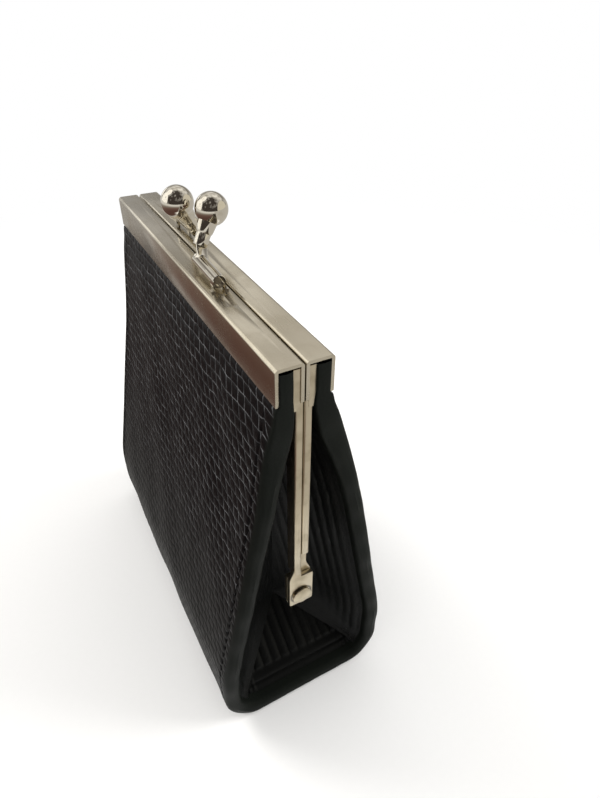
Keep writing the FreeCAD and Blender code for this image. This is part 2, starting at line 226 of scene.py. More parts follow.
PUFF_RISE = (-0.2, 0.8)
PUFF_FADE = (2.0, 24.0)

# Embossed net: its scales and its end at the rolled edge. The leather's UV map covers a width and a length
SCALE_ROW = 2.0
SCALE_LENGTH = 2.25
NET_END = (35.9, 36.7)
UV_WIDTH = 100.0
UV_LENGTH = 200.0

# Gussets: end walls folded inwards behind the hinge arms
GUSSET_EDGE_X = 35.4
GUSSET_TOP_Z = 70.6
CREASE_X = 26.0
FLAP_APEX = Vector((21.5, 0.0, 14.0))
HEM_WIDTH = 4.6
RIB_PITCH = 1.75
RIB_HEIGHT = 0.45
SCALE_PITCH = 2.3
GUSSET_SHEET = 0.5
SIDE_TUCK = WALL - 0.5
FLAP_TUCK = WALL - 0.6
FLAP_SHARE = 0.3
SIDE_FULLNESS = 0.10
WEB_REACH = 1.2
WEB_SETBACK = 0.9
WEB_SHEET = 0.4

# Lining, from below the flange down
LINING_DROP = 5
LINING_MARGIN = 1.2
LINING_GAP = 0.3
LINING_SHEET = 0.25


def smooth_step(low, high, value):
    """0 below low, 1 above high and a smooth rise between."""
    share = min(max((value - low) / (high - low), 0.0), 1.0)
    return share * share * (3 - 2 * share)


def only(kind, geom):
    """Elements of one kind from an operator's result."""
    return [g for g in geom if isinstance(g, kind)]


def chain(bm, points):
    """Vertices through points, joined by edges one after another."""
    verts = [bm.verts.new(p) for p in points]
    return [bm.edges.new(pair) for pair in zip(verts, verts[1:])]


def plate(bm, points, offset):
    """Flat plate with an outline of points, as thick as an offset."""
    face = bm.faces.new([bm.verts.new(p) for p in points])
    made = bmesh.ops.extrude_face_region(bm, geom=[face], use_keep_orig=True)["geom"]
    bmesh.ops.translate(bm, vec=offset, verts=only(bmesh.types.BMVert, made))


def drawn_out(bm, edges, offset):
    """Faces drawn out from edges by an offset."""
    made = bmesh.ops.extrude_edge_only(bm, edges=edges)["geom"]
    bmesh.ops.translate(bm, vec=offset, verts=only(bmesh.types.BMVert, made))
    return only(bmesh.types.BMFace, made)


def faced(bm, faces, direction):
    """Turns the normals of an open sheet towards a direction."""
    bmesh.ops.recalc_face_normals(bm, faces=faces)
    if sum(f.normal.dot(direction) for f in faces) < 0:
        bmesh.ops.reverse_faces(bm, faces=faces)


def rounded(bm, edges, radius, segments):
    """Rounds edges to about a radius."""
    bmesh.ops.bevel(bm, geom=edges, offset=radius, offset_type="OFFSET", affect="EDGES", segments=segments,
                    profile=0.5, material=-1, clamp_overlap=True)


def broken_edges(bm, radius):
    """Rounds every sharp edge of closed sheets a little."""
    limit = math.radians(SHARP_DEGREES)
    sharp = [e for e in bm.edges if len(e.link_faces) == 2 and e.calc_face_angle() > limit]
    rounded(bm, sharp, radius, 2)


def turned_profile(bm, profile, place, steps=48):
    """Full turn of a profile of (radius, height) about Z, then put in its place."""
    edges = chain(bm, [(r, 0, h) for r, h in profile])
    geom = list({v for e in edges for v in e.verts}) + edges
    bmesh.ops.spin(bm, geom=geom, cent=(0, 0, 0), axis=(0, 0, 1), angle=2 * math.pi, steps=steps,
                   use_merge=True)
    bmesh.ops.remove_doubles(bm, verts=bm.verts, dist=1e-4)
    bmesh.ops.transform(bm, matrix=place, verts=bm.verts)


def facing(origin, direction):
    """Place at an origin with Z along a direction."""
    return Matrix.Translation(origin) @ direction.to_track_quat("Z", "Y").to_matrix().to_4x4()


def arc(centre, radius, start, end, count):
    """Points (a, b) on a circle between two angles in degrees."""
    angles = [math.radians(start + (end - start) * i / count) for i in range(count + 1)]
    return [(centre[0] + radius * math.cos(a), centre[1] + radius * math.sin(a)) for a in angles]


def corner_arc(corner, back, ahead, radius):
    """Arc that rounds a corner of two directions: half their angle, its reach along them and its centre."""
    half = back.angle(ahead) / 2
    centre = corner + (back + ahead).normalized() * (radius / math.sin(half))
    return half, radius / math.tan(half), centre


def half_turn(bm):
    """Turns a mesh to the other side of the hinge plane."""
    bmesh.ops.rotate(bm, cent=(0, 0, 0), matrix=Matrix.Rotation(math.pi, 3, "Z"), verts=bm.verts)


def mirrored_x(bm):
    """Mirrors a mesh to the other end of the purse."""
    bmesh.ops.scale(bm, vec=(-1, 1, 1), verts=bm.verts)
    bmesh.ops.reverse_faces(bm, faces=bm.faces)


def placed(name, data):
    """New object of the scene."""
    obj = bpy.data.objects.new(name, data)
    bpy.context.scene.collection.objects.link(obj)
    return obj


def mesh_object(bm, name, material):
    """New object from a mesh, in one material."""
    mesh = bpy.data.meshes.new(name)
    bm.to_mesh(mesh)
    bm.free()
    mesh.materials.append(material)
    return placed(name, mesh)


def piece(bm, name, material):
    """Finished object in metres from a mesh in millimetres."""
    bmesh.ops.recalc_face_normals(bm, faces=bm.faces)
    bmesh.ops.translate(bm, vec=HINGE_PLANE, verts=bm.verts)
    bmesh.ops.scale(bm, vec=(MM, MM, MM), verts=bm.verts)
    obj = mesh_object(bm, name, material)
    obj.data.polygons.foreach_set("use_smooth", [True] * len(obj.data.polygons))
    obj.data.set_sharp_from_angle(angle=math.radians(CREASE_DEGREES))
    return obj


def rail_shell():
    """Channel folded from sheet, open side down, with a stake mark beyond the lock post's foot."""
    bm = bmesh.new()
    corners = [
        (-SEAM, RAIL_LOW.z),
        (-SEAM, RAIL_HIGH.z),
        (RAIL_LOW.y, RAIL_HIGH.z),
        (RAIL_LOW.y, FLANGE_END_Z),
    ]
    length = RAIL_HIGH.x - RAIL_LOW.x
    drawn_out(bm, chain(bm, [(RAIL_LOW.x, y, z) for y, z in corners]), (length, 0, 0))
    for y, radius in ((-SEAM, SEAM_BEND), (RAIL_LOW.y, RAIL_BEND)):
        spot = Vector((y, RAIL_HIGH.z))
        fold = [e for e in bm.edges if all((v.co.yz - spot).length < MERGED for v in e.verts)]
        rounded(bm, fold, radius, 6)
    faced(bm, bm.faces[:], Vector((0, 0, 1)))
    stake_mark(bm)
    bmesh.ops.solidify(bm, geom=bm.faces[:], thickness=RAIL_SHEET)
    broken_edges(bm, RAIL_EDGE)
    return bm


def stake_mark(bm):
    """Shallow punched mark in the rail's flat top."""
    low = Vector((STAKE_START, POST_Y - STAKE_WIDTH / 2, 0))
    high = Vector((STAKE_START + STAKE_LENGTH, POST_Y + STAKE_WIDTH / 2, 0))

    def flat_top():
        return [f for f in bm.faces if f.normal.z > 0.99]

    for axis in (Vector((1, 0, 0)), Vector((0, 1, 0))):
        for corner in (low, high):
            top = flat_top()
            geom = top + list({e for f in top for e in f.edges}) + list({v for f in top for v in f.verts})
            bmesh.ops.bisect_plane(bm, geom=geom, plane_co=corner, plane_no=axis)
    marked = []
    for face in flat_top():
        middle = face.calc_center_median()
        if low.x < middle.x < high.x and low.y < middle.y < high.y:
            marked.append(face)
    bmesh.ops.inset_region(bm, faces=marked, thickness=STAKE_INSET, use_even_offset=True)
    sunk = {v for f in marked for v in f.verts}
    bmesh.ops.translate(bm, vec=(0, 0, -STAKE_DEPTH), verts=list(sunk))


def folded_leg(bm, side, bottom_z):
    """Arm folded from strip: rounded web outwards, open fold inwards, both ends closed."""
    back_x = side * (ARM_FACE_X - ARM_DEPTH)
    web_x = side * ARM_FACE_X
    start = len(bm.verts)
    points = [(back_x, ARM_OUT_Y), (web_x, ARM_OUT_Y), (web_x, ARM_IN_Y), (back_x, ARM_IN_Y)]
    faces = drawn_out(bm, chain(bm, [(x, y, bottom_z) for x, y in points]), (0, 0, ARM_TOP_Z - bottom_z))
    edges = {e for f in faces for e in f.edges}
    web = [e for e in edges if len(e.link_faces) == 2]
    rounded(bm, web, ARM_ROUND, 4)
    bm.verts.ensure_lookup_table()
    shell = list({f for v in bm.verts[start:] for f in v.link_faces})
    faced(bm, shell, Vector((side, 0, 0)))
    bmesh.ops.solidify(bm, geom=shell, thickness=ARM_SHEET)
    inset = ARM_SHEET / 3
    corners = [(back_x, ARM_OUT_Y + inset), (web_x - side * inset, ARM_OUT_Y + inset),
               (web_x - side * inset, ARM_IN_Y - inset), (back_x, ARM_IN_Y - inset)]
    for z in (bottom_z, ARM_TOP_Z - ARM_SHEET):
        plate(bm, [(x, y, z) for x, y in corners], (0, 0, ARM_SHEET))


def arm_head(bm, side, tapered):
    """Flat head of an arm, held behind the rail's inner flange. It steps or tapers down to the leg."""
    bottom = ARM_TOP_Z - ARM_SHOULDER
    shoulder = [(STRIP_OUT_Y, bottom)]
    if tapered:
        shoulder = [(ARM_OUT_Y, bottom), (STRIP_OUT_Y, bottom + 2 * ARM_SHOULDER)]
    outline = [(STRIP_IN_Y, STRIP_TOP_Z), (STRIP_IN_Y, bottom)] + shoulder + [(STRIP_OUT_Y, STRIP_TOP_Z)]
    x0 = side * (ARM_FACE_X - ARM_DEPTH)
    plate(bm, [(x0, y, z) for y, z in outline], (side * (ARM_DEPTH + HEAD_PROUD), 0, 0))


def hinge_tab(bm, side, outer_x, neck_z):
    """Flat tab whose neck flares out of the arm."""
    top = HINGE_Z + TAB_ABOVE
    bottom = HINGE_Z - TAB_BELOW
    flare_top = top + TAB_FLARE
    flare = []
    for i in range(TAB_FLARE_STEPS + 1):
        share = i / TAB_FLARE_STEPS
        y = ARM_OUT_Y + (-TAB_HALF - ARM_OUT_Y) * smooth_step(0, 1, share)
        flare.append((y, flare_top + (top - TAB_CORNER - flare_top) * share))
    c = TAB_CORNER
    low_left = arc((-TAB_HALF + c, bottom + c), c, 180, 270, 4)
    low_right = arc((TAB_HALF - c, bottom + c), c, 270, 360, 4)
    top_right = arc((TAB_HALF - c / 2, top - c / 2), c / 2, 0, 90, 3)
    outline = [(ARM_OUT_Y, neck_z)] + flare + low_left + low_right + top_right
    outline += [(ARM_IN_Y, top), (ARM_IN_Y, neck_z)]
    plate(bm, [(side * outer_x, y, z) for y, z in outline], (-side * TAB_SHEET, 0, 0))


def hinge_arms():
    """Clamping strip, arms and tabs of one half. The outer tab is at +X and the inner tab at -X."""
    bm = bmesh.new()
    strip = [(STRIP_OUT_Y, STRIP_TOP_Z - STRIP_HEIGHT), (STRIP_IN_Y, STRIP_TOP_Z - STRIP_HEIGHT),
             (STRIP_IN_Y, STRIP_TOP_Z), (STRIP_OUT_Y, STRIP_TOP_Z)]
    half = ARM_FACE_X - ARM_DEPTH
    plate(bm, [(-half, y, z) for y, z in strip], (2 * half, 0, 0))
    for side, leg_end, tab_x, tapered in ((1, OUTER_LEG_END_Z, ARM_FACE_X - OUTER_TAB_STEP, False),
                                          (-1, INNER_LEG_END_Z, ARM_FACE_X - INNER_TAB_STEP, True)):
        folded_leg(bm, side, leg_end)
        arm_head(bm, side, tapered)
        hinge_tab(bm, side, tab_x, leg_end + 2 * ARM_SHEET)
    bmesh.ops.recalc_face_normals(bm, faces=bm.faces)
    broken_edges(bm, ARM_EDGE)
    return bm


def hinge_rivet():
    """Pin with a low domed head through both tabs at the +X end, its tail peened over inside."""
    bm = bmesh.new()
    end_x = RIVET_LOW.x
    tail_x = end_x + RIVET_TAIL
    top_x = RIVET_SEAT + RIVET_HEAD
    profile = [
        (0, end_x + RIVET_TAIL_HOLLOW),
        (RIVET_TAIL_R - RIVET_SOFT, end_x),
        (RIVET_TAIL_R, end_x + RIVET_SOFT),
        (RIVET_TAIL_R, tail_x),
        (RIVET_SHANK_R, tail_x),
        (RIVET_SHANK_R, RIVET_SEAT),
    ]
    profile += [(RIVET_HEAD_R - inwards, RIVET_SEAT + up) for inwards, up in RIVET_UNDERSIDE]
    profile += arc((RIVET_HEAD_R - RIVET_SOFT, top_x - RIVET_SOFT - RIVET_RIM_DROP), RIVET_SOFT, 0, 75, 5)
    profile += [(RIVET_HEAD_R * share, top_x - RIVET_DOME * share * share) for share in (0.6, 0.3, 0)]
    turned_profile(bm, profile, Matrix.Translation((0, 0, HINGE_Z)) @ Matrix.Rotation(math.pi / 2, 4, "Y"))
    return bm


def drawn_tube(bm, radius, place, moves):
    """Disc at a place, drawn out by one move after another, and closed at its end."""
    made = bmesh.ops.create_circle(bm, cap_ends=True, segments=RING_SEGMENTS, radius=radius, matrix=place)
    ring = list({e for v in made["verts"] for e in v.link_edges})
    for move in moves:
        grown = bmesh.ops.extrude_edge_only(bm, edges=ring)["geom"]
        bmesh.ops.transform(bm, matrix=move, verts=only(bmesh.types.BMVert, grown))
        ring = [e for e in only(bmesh.types.BMEdge, grown) if e.is_boundary]
    bmesh.ops.holes_fill(bm, edges=ring, sides=0)


def about(centre, change):
    """A turn or a scaling about a point."""
    return Matrix.Translation(centre) @ change @ Matrix.Translation(-centre)


def ring_scale(centre, factor):
    """Scaling about a point."""
    return about(centre, Matrix.Scale(factor, 4))


def lock_post():
    """Bent rod of the lock: its foot lies along the rail on two legs, its upright runs into a sleeve."""
    bm = bmesh.new()
    end = Vector((FOOT_END_X, POST_Y, FOOT_Z))
    along = (end - ELBOW).normalized()
    half, reach, centre = corner_arc(ELBOW, SHANK_UP, along, LEG_BEND_R)
    core_r = POST_R - POST_SHEET
    edge_r = POST_R - POST_EDGE
    core = end - along * CORE_RECESS
    edge = end - along * POST_EDGE
    bend_start = ELBOW + along * reach
    rim = ELBOW + SHANK_UP * RIM_RISE
    axis = SHANK_UP.cross(along).normalized()
    angle = 2 * half - math.pi
    bend_end = about(centre, Matrix.Rotation(angle, 4, axis)) @ bend_start
    swing = about(centre, Matrix.Rotation(angle / POST_BEND_STEPS, 4, axis))
    drawn_tube(bm, core_r, facing(core, along), [
        Matrix.Translation(end - core),
        ring_scale(end, edge_r / core_r),
        Matrix.Translation(edge - end) @ ring_scale(end, POST_R / edge_r),
        Matrix.Translation(bend_start - edge),
        *[swing] * POST_BEND_STEPS,
        Matrix.Translation(rim + SHANK_UP * SLEEVE_DEPTH - bend_end),
    ])
    sleeve(bm, rim)
    foot_legs(bm)
    bmesh.ops.recalc_face_normals(bm, faces=bm.faces)
    return bm


def sleeve(bm, rim):
    """Tube round the upright, open at its lower rim, up to the ball's neck."""
    seat = rim + SHANK_UP * (SLEEVE_DEPTH - SLEEVE_LAP)
    lip = rim + SHANK_UP * RIM_LIP
    top = BALL_CENTRE - SHANK_UP * (BALL_R + NECK_LENGTH - SLEEVE_LAP)
    edge_r = RIM_R - RIM_EDGE
    drawn_tube(bm, SLEEVE_BORE, facing(seat, SHANK_UP), [
        Matrix.Translation(rim - seat),
        ring_scale(rim, edge_r / SLEEVE_BORE),
        Matrix.Translation(lip - rim) @ ring_scale(rim, RIM_R / edge_r),
        Matrix.Translation(top - lip) @ ring_scale(lip, TUBE_TOP_R / RIM_R),
        Matrix.Translation(lip - rim) @ ring_scale(top, SLEEVE_TOP_SCALE),
    ])


def foot_legs(bm):
    """Two thin legs with turned-out feet that hold the open end of the foot up off the rail."""
    for sign in (-1, 1):
        side = POST_Y + sign * (POST_R + LEG_PROUD)
        inner = side - sign * LEG_SHEET
        toe = side + sign * TOE_LENGTH
        outline = [(inner, FOOT_Z), (inner, RAIL_HIGH.z), (toe, RAIL_HIGH.z), (toe, RAIL_HIGH.z + LEG_SHEET),
                   (side, RAIL_HIGH.z + LEG_SHEET), (side, FOOT_Z)]
        start = FOOT_END_X - LEG_WIDTH
        plate(bm, [(start, y, z) for y, z in outline], (LEG_WIDTH - LEG_SETBACK, 0, 0))


def lock_ball():
    """Polished ball on a short conical neck."""
    bm = bmesh.new()
    meet = math.degrees(math.asin(NECK_R / BALL_R))
    neck_end = -(BALL_R + NECK_LENGTH)
    plug_end = neck_end - PLUG_LENGTH
    profile = [(0, plug_end), (NECK_FOOT_R - PLUG_STEP, plug_end), (NECK_FOOT_R, neck_end)]
    profile += arc((0, 0), BALL_R, meet - 90, 90, 32)
    profile[-1] = (0, BALL_R)
    turned_profile(bm, profile, facing(BALL_CENTRE, SHANK_UP), steps=56)
    return bm


class Path:
    """Straight runs through (y, z) corners, joined by tangent arcs and measured along their length."""

    def __init__(self, corners, radii):
        points = [Vector(c) for c in corners]
        self.runs = []
        start = points[0]
        for before, corner, after, radius in zip(points, points[1:], points[2:], radii):
            back = (before - corner).normalized()
            ahead = (after - corner).normalized()
            half, reach, centre = corner_arc(corner, back, ahead, radius)
            arc_start = corner + back * reach
            turn = math.copysign(math.pi - 2 * half, ahead.x * back.y - ahead.y * back.x)
            self.runs.append((start, arc_start, None, (arc_start - start).length))
            self.runs.append((arc_start, turn, centre, radius * abs(turn)))
            start = corner + ahead * reach
        self.runs.append((start, points[-1], None, (points[-1] - start).length))
        self.length = sum(run[3] for run in self.runs)

    def at(self, distance):
        """Point and outward normal at a distance along the path."""
        left = min(max(distance, 0.0), self.length)
        for start, end, centre, length in self.runs:
            if left <= length or start is self.runs[-1][0]:
                break
            left -= length
        if centre is None:
            ahead = (end - start).normalized()
            point = start + ahead * left
        else:
            angle = end * left / length
            spoke = Matrix.Rotation(angle, 2) @ (start - centre)
            point = centre + spoke
            ahead = Vector((-spoke.y, spoke.x)).normalized() * math.copysign(1, end)
        return point, Vector((ahead.y, -ahead.x))

    def height_at(self, z):
        """Distance at which the path has come down to a height."""
        low, high = 0.0, self.length
        for _ in range(40):
            middle = (low + high) / 2
            low, high = (middle, high) if self.at(middle)[0].y > z else (low, middle)
        return low


def wall(shoulder_drop, corners, radii):
    """Outside of a wall from its rail, past its shoulder and corners, to the middle of the base."""
    shoulder = (LEATHER_OUT_Y, FLANGE_END_Z - shoulder_drop)
    return Path([(LEATHER_OUT_Y, PANEL_HIGH.z), shoulder] + corners, radii)


# The front wall is straight. The back one bows out at its hip, and is given as before its half turn
WALLS = {
    "front": wall(
        SHOULDER_DROP,
        [(WRAP_LOW.y, KNEE_Z), (WRAP_LOW.y, 0.0), (BASE_MIDDLE_Y, 0.0)],
        [SHOULDER_RADIUS, KNEE_RADIUS, BASE_RADIUS],
    ),
    "back": wall(
        BACK_SHOULDER_DROP,
        [(-HIP_DEPTH, HIP_Z), (-WRAP_HIGH.y, KNEE_Z), (-WRAP_HIGH.y, 0.0), (-BASE_MIDDLE_Y, 0.0)],
        [BACK_SHOULDER_RADIUS, HIP_RADIUS, KNEE_RADIUS, BASE_RADIUS],
    ),
}
FLANGE_END = WALLS["front"].height_at(FLANGE_END_Z)


def corner_end(path):
    """Distance at which the rounded corner of the base ends and its flat begins."""
    return path.length - BASE_FLAT


def base_corner(path):
    """Distance to the middle of the rounded corner of the base."""
    return corner_end(path) - BASE_RADIUS * math.pi / 4


def wall_point(path, x, distance, depth):
    """Point at a depth into the wall. Inside the rail the wall is pressed thinner."""
    point, normal = path.at(distance)
    pressed = GRIPPED / WALL
    press = pressed + (1 - pressed) * smooth_step(*PRESSED_RUN, distance - FLANGE_END)
    spot = point - normal * depth * press
    return Vector((x, spot.x, spot.y))


def sheet(columns, rows, shape, uv):
    """Grid whose vertices are moved to shape(column, row), with a UV map of uv(column, row)."""
    bm = bmesh.new()
    made = bmesh.ops.create_grid(bm, x_segments=columns, y_segments=rows, size=0.5)
    layer = bm.loops.layers.uv.verify()
    spots = {v: (round((v.co.x + 0.5) * columns), round((v.co.y + 0.5) * rows)) for v in made["verts"]}
    for face in bm.faces:
        for loop in face.loops:
            loop[layer].uv = uv(*spots[loop.vert])
    for vert, spot in spots.items():
        vert.co = shape(*spot)
    return bm


def merged(bm):
    """Mesh whose points that lie together are made one."""
    bmesh.ops.remove_doubles(bm, verts=bm.verts, dist=MERGED)
    return bm


def patch(columns, rows, corner=(0.0, 0.0), size=(1.0, 1.0)):
    """UV map that lays a grid on a patch of the unit square."""
    return lambda column, row: (corner[0] + size[0] * column / columns, corner[1] + size[1] * row / rows)


def thickened(bm, thickness):
    """Sheet with a thickness."""
    bmesh.ops.recalc_face_normals(bm, faces=bm.faces)
    bmesh.ops.solidify(bm, geom=bm.faces[:], thickness=thickness)
    return bm


def wall_section(c):
    """Closed outline across the wall as (x, depth), with corners of radius c."""
    groove = [STITCH_X + GROOVE_WIDTH * k for k in GROOVE_STOPS]
    plain = int((groove[0] - GROOVE_MARGIN) / SECTION_STEP) + 1
    right = [(i * SECTION_STEP, 0.0) for i in range(plain)]
    right += [(x, 0.0) for x in groove]
    right += [(EDGE_X - c + dx, c + dy) for dx, dy in arc((0, 0), c, -90, 0, 6)]
    right += [(EDGE_X + EDGE_SWELL, WALL / 2)]
    right += [(EDGE_X - c + dx, WALL - c + dy) for dx, dy in arc((0, 0), c, 0, 90, 6)]
    right += [(x, WALL) for x in INNER_STOPS]
    return [(-x, depth) for x, depth in reversed(right)] + right[1:]


def developed(section):
    """Distance of each point of an outline from the one halfway along it, signed by its side."""
    runs = [0.0]
    for (xa, da), (xb, db) in zip(section, section[1:]):
        runs.append(runs[-1] + math.hypot(xb - xa, db - da))
    middle = runs[len(section) // 2]
    return [run - middle for run in runs]


def leather_relief(path, x, distance):
    """Height of the leather's face over the plain wall: crown, puff, slight waves and the stitched groove."""
    below = distance - FLANGE_END
    free = smooth_step(0, RELIEF_RISE, below)
    free *= 1 - smooth_step(base_corner(path) - RELIEF_FADE, corner_end(path), distance)
    inside = 1 - smooth_step(CALM_EDGE_X, EDGE_X, abs(x))
    crown = CROWN * (1 - (x / EDGE_X) ** 2) * free
    crown += PUFF * smooth_step(*PUFF_RISE, below) * (1 - smooth_step(*PUFF_FADE, below))
    waves = 0.1 * math.sin(0.23 * x + 1.1) * math.sin(0.14 * distance)
    waves += 0.06 * math.sin(0.41 * x - 0.2 * distance)
    pull = 0.7 + 0.3 * math.cos(2 * math.pi * distance / STITCH_PITCH)
    groove = math.exp(-((abs(x) - STITCH_X) / GROOVE_WIDTH) ** 2)
    lip = math.exp(-((abs(x) - STITCH_X) / LIP_WIDTH) ** 2)
    return crown + free * (inside * waves + LIP_HEIGHT * lip - (GROOVE_DEPTH + LIP_HEIGHT) * pull * groove)


def leather_wrap(path):
    """One half's wall and its share of the base: one skin with rolled edges at both ends."""
    section = wall_section(EDGE_CORNER)
    gripped = wall_section(GRIPPED_CORNER)
    across = developed(section)
    rows = int(path.length / ROW_STEP)
    step = path.length / rows

    def shape(column, row):
        distance = row * step
        free = smooth_step(0, ROLLING_RUN, distance - FLANGE_END)
        x, depth = Vector(gripped[column]).lerp(Vector(section[column]), free)
        outer = 1 - smooth_step(0.0, EDGE_CORNER, depth)
        bulge = smooth_step(EDGE_X - BULGE_WIDTH, EDGE_X, abs(x)) * math.copysign(1, x)
        wobble = 0.1 * math.sin(0.31 * distance + x) + 0.06 * math.sin(0.83 * distance)
        wobble *= 1 - smooth_step(corner_end(path), path.length - 1, distance)
        relief = outer * leather_relief(path, x, distance)
        return wall_point(path, x + bulge * wobble, distance, depth - relief)

    def uv(column, row):
        return (0.5 + across[column] / UV_WIDTH, row * step / UV_LENGTH)

    return merged(sheet(len(section) - 1, rows, shape, uv))


def stitches(path):
    """Rows of sunk stitches along both edges of a half's leather."""
    bm = bmesh.new()
    count = int((base_corner(path) - FLANGE_END) / STITCH_PITCH)
    size = Matrix.Diagonal((STITCH_WIDTH / 2, STITCH_LENGTH / 2, STITCH_WIDTH / 2, 1))
    sideways = Vector((1, 0, 0))
    for side in (-1, 1):
        for i in range(count):
            distance = FLANGE_END + FIRST_STITCH + i * STITCH_PITCH
            ahead = wall_point(path, side * STITCH_X, distance + 0.5, 0.0)
            behind = wall_point(path, side * STITCH_X, distance - 0.5, 0.0)
            along = (ahead - behind).normalized()
            out = along.cross(sideways).normalized()
            if out.y > 0.2:
                out = -out
            turn = Matrix((sideways, along, out)).transposed().to_4x4()
            seat = wall_point(path, side * STITCH_X, distance, GROOVE_DEPTH - STITCH_SUNK)
            bmesh.ops.create_uvsphere(bm, u_segments=8, v_segments=6, radius=1.0,
                                      matrix=Matrix.Translation(seat) @ turn @ size)
    return bm


def gusset_ribs(across, along):
    """Height of broad embossed ribs, cut into scales along their length."""
    rib = abs(math.cos(math.pi * across / RIB_PITCH)) ** 0.5
    row = math.floor(across / RIB_PITCH + 0.5)
    notch = abs(math.cos(math.pi * (along / SCALE_PITCH + 0.37 * row)))
    return RIB_HEIGHT * rib * (0.82 + 0.18 * min(1.0, 3 * notch))


def gusset_side(path):
    """Front side of the folded end wall at +X, from the front wall in to the crease behind the arms."""
    columns, rows = 44, 70
    top = path.height_at(GUSSET_TOP_Z)
    low = base_corner(path)
    corner = wall_point(path, GUSSET_EDGE_X, low, SIDE_TUCK)
    apex = FLAP_APEX + Vector((0, path.at(path.length)[0].x, 0))
    crease_top = Vector((CREASE_X, -0.15, GUSSET_TOP_Z))
    inwards = Vector((-1.0, -0.6, 0)).normalized()
    outwards = Vector((0.55, 0.8, 0)).normalized()

    def shape(column, row):
        share = row / rows
        outer = wall_point(path, GUSSET_EDGE_X, low + (top - low) * share, SIDE_TUCK)
        if share < FLAP_SHARE:
            inner = corner.lerp(apex, share / FLAP_SHARE)
        else:
            inner = apex.lerp(crease_top, (share - FLAP_SHARE) / (1 - FLAP_SHARE))
        u = column / columns
        width = (outer - inner).length
        fullness = SIDE_FULLNESS * width * math.sin(math.pi * u)
        ripple = 0.6 * gusset_ribs(u * width, share * 60) * min(1.0, 6 * u * (1 - u))
        return outer.lerp(inner, u) + inwards * fullness + outwards * ripple

    uv = patch(columns, rows, (0.1, 0.1), (0.15, 0.7))
    return thickened(merged(sheet(columns, rows, shape, uv)), GUSSET_SHEET)


def gusset_flap():
    """Three-cornered bottom flap at +X: a smooth hem along the base, then ribs running up and inwards."""
    columns, rows = 150, 44
    path = WALLS["front"]
    low = base_corner(path)
    centre = Vector((0, BASE_MIDDLE_Y, 0))
    corner = wall_point(path, GUSSET_EDGE_X, low, FLAP_TUCK) - centre
    middle = wall_point(path, GUSSET_EDGE_X, path.length, FLAP_TUCK) - centre
    inwards = FLAP_APEX - middle
    reach = inwards.length
    inwards.normalize()
    out = Vector((-inwards.z, 0, inwards.x))
    out = out if out.z > 0 else -out

    def shape(column, row):
        y = corner.y * (1 - 2 * column / columns)
        aside = abs(y / corner.y)
        edge = wall_point(path, GUSSET_EDGE_X, low + (path.length - low) * (1 - aside), FLAP_TUCK) - centre
        along = reach * (1 - 0.96 * aside) * row / rows
        ribbed = smooth_step(HEM_WIDTH - 0.5, HEM_WIDTH + 0.3, along)
        share = min(along / HEM_WIDTH, 1.0)
        hem = 0.5 * math.sin(math.pi * share) - 0.3 * math.exp(-((share - 0.5) / 0.07) ** 2)
        gathered = smooth_step(0.55, 0.95, aside) * math.sin(math.pi * share)
        hem += 0.3 * gathered * math.sin(4.5 * y)
        height = hem + ribbed * gusset_ribs(y, along)
        return Vector((edge.x, math.copysign(edge.y, y), edge.z)) + inwards * along + out * height + centre

    uv = patch(columns, rows, (0.1, 0.1), (0.3, 0.2))
    return thickened(merged(sheet(columns, rows, shape, uv)), GUSSET_SHEET)


def gusset_web(path):
    """Narrow strip behind the crease at +X, the same on each wall."""
    columns, rows = 12, 24
    low_z = HINGE_Z + 1

    def shape(column, row):
        z = low_z + (GUSSET_TOP_Z - low_z) * row / rows
        rise = (z - FLAP_APEX.z) / (GUSSET_TOP_Z - FLAP_APEX.z)
        crease_x = FLAP_APEX.x + (CREASE_X - FLAP_APEX.x) * rise
        return Vector((crease_x - WEB_SETBACK, -WEB_REACH * column / columns, z))

    bm = sheet(columns, rows, shape, patch(columns, rows, (0.5, 0.1), (0.02, 0.4)))
    bmesh.ops.solidify(bm, geom=bm.faces[:], thickness=WEB_SHEET)
    return bm


def lining(path):
    """Cloth on the inside of one wall and its share of the base."""
    columns, rows = 40, 90
    half = GUSSET_EDGE_X - LINING_MARGIN
    start = path.height_at(FLANGE_END_Z - LINING_DROP)

    def shape(column, row):
        x = half * (2 * column / columns - 1)
        distance = start + (path.length - start) * row / rows
        loose = 0.12 * math.sin(0.5 * x + 0.2 * distance) + 0.1 * math.sin(0.31 * distance)
        return wall_point(path, x, distance, WALL + LINING_GAP + loose)

    return thickened(sheet(columns, rows, shape, patch(columns, rows)), LINING_SHEET)


class Level:
    """A number that varies over a surface. Sums and products of it add Math nodes to its tree."""

    def __init__(self, tree, socket):
        self.tree = tree
        self.socket = socket

    def __add__(self, other):
        return self.tree.worked("ADD", self, other)

    def __sub__(self, other):
        return self.tree.worked("SUBTRACT", self, other)

    def __rsub__(self, other):
        return self.tree.worked("SUBTRACT", other, self)

    def __mul__(self, other):
        return self.tree.worked("MULTIPLY", self, other)

    __radd__ = __add__
    __rmul__ = __mul__


